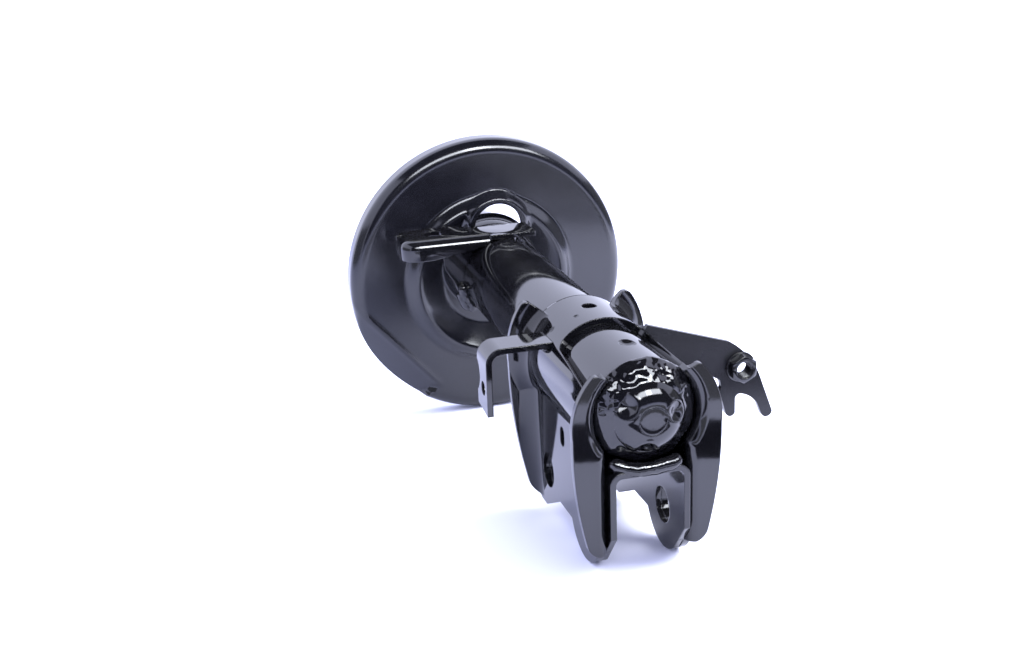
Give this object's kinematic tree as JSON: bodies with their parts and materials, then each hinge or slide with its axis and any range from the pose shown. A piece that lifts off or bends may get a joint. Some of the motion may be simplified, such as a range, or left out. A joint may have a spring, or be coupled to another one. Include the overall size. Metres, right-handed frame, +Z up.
{
  "type": "suspension strut assembly",
  "caption": "Twin-tube suspension strut with a dished spring seat, a forked knuckle bracket, a link bracket, a hose bracket and a wiring bracket with a nut.",
  "frame": {"origin": "centre of the near knuckle bolt hole, the one nearer the capped end", "axes": "+X along the knuckle bolts, +Y along the strut from the cap to the rod (seen from above), +Z up as the strut lies on its knuckle ears and seat rim; the strut axis climbs by the lying angle of 4.20 degrees towards +Y"},
  "size_m": [0.176, 0.5474, 0.1762],
  "materials": {
    "tube_paint": "gloss black",
    "cap_paint": "gloss black",
    "weld_paint": "gloss black over a rippled bead",
    "knuckle_outer_paint": "gloss black",
    "knuckle_inner_paint": "gloss black",
    "seat_paint": "semi-gloss black",
    "link_paint": "gloss black",
    "hose_paint": "gloss black",
    "fork_paint": "satin black",
    "nut_paint": "gloss black",
    "rod_chrome": "hard chrome, ground",
    "inner_steel": "turned, oiled",
    "sintered_steel": "sintered, oiled",
    "band_plastic": "filled fluoropolymer",
    "spring_steel": "rolled, oiled",
    "bumper_rubber": "matte",
    "bush_bronze": "rolled bearing bush",
    "seal_rubber": "matte"
  },
  "bodies": {
    "housing": {"outer_tube": "tube_paint", "end_cap": "cap_paint", "end_cap_weld": "weld_paint", "knuckle_bracket_outer": "knuckle_outer_paint", "knuckle_bracket_inner": "knuckle_inner_paint", "knuckle_weld": "weld_paint", "spring_seat": "seat_paint", "seat_weld": "weld_paint", "link_bracket": "link_paint", "link_bracket_weld": "weld_paint", "hose_bracket": "hose_paint", "hose_bracket_weld": "weld_paint", "fork_bracket": "fork_paint", "fork_bracket_weld": "weld_paint", "weld_nut": "nut_paint", "pressure_tube": "inner_steel", "rod_guide": "sintered_steel", "guide_bush": "bush_bronze", "rod_seal": "seal_rubber", "seal_washer": "inner_steel", "base_valve_body": "sintered_steel", "base_intake_spring": "spring_steel", "base_valve_shims": "spring_steel", "base_valve_bolt": "inner_steel", "base_valve_nut": "inner_steel"},
    "piston_band": {"piston_band": "band_plastic"},
    "rod": {"piston_rod": "rod_chrome", "piston": "sintered_steel", "piston_shims": "spring_steel", "piston_nut": "inner_steel", "rebound_stop": "inner_steel", "rebound_bumper": "bumper_rubber", "piston_check_spring": "spring_steel"},
    "piston_check_plate": {"piston_check_plate": "spring_steel"},
    "base_intake_plate": {"base_intake_plate": "spring_steel"}
  },
  "joints": [
    {"name": "rod_slide", "type": "slide", "parent": "housing", "child": "piston_band", "axis": [0, -0.9973, -0.0733], "range_m": [0, 0.14], "stiffness_N_per_m": 150, "springref_m": -0.8},
    {"name": "rod_spin", "type": "hinge", "parent": "piston_band", "child": "rod", "pos_m": [0, 0.24352, 0.07546], "axis": [0, 0.9973, 0.0733], "continuous": true},
    {"name": "piston_check_lift", "type": "slide", "parent": "rod", "child": "piston_check_plate", "axis": [0, 0.9973, 0.0733], "range_m": [0, 0.001], "stiffness_N_per_m": 1500, "deforming": ["piston_check_spring"]},
    {"name": "base_intake_lift", "type": "slide", "parent": "housing", "child": "base_intake_plate", "axis": [0, 0.9973, 0.0733], "range_m": [0, 0.001], "stiffness_N_per_m": 1200, "deforming": ["base_intake_spring"]}
  ]
}
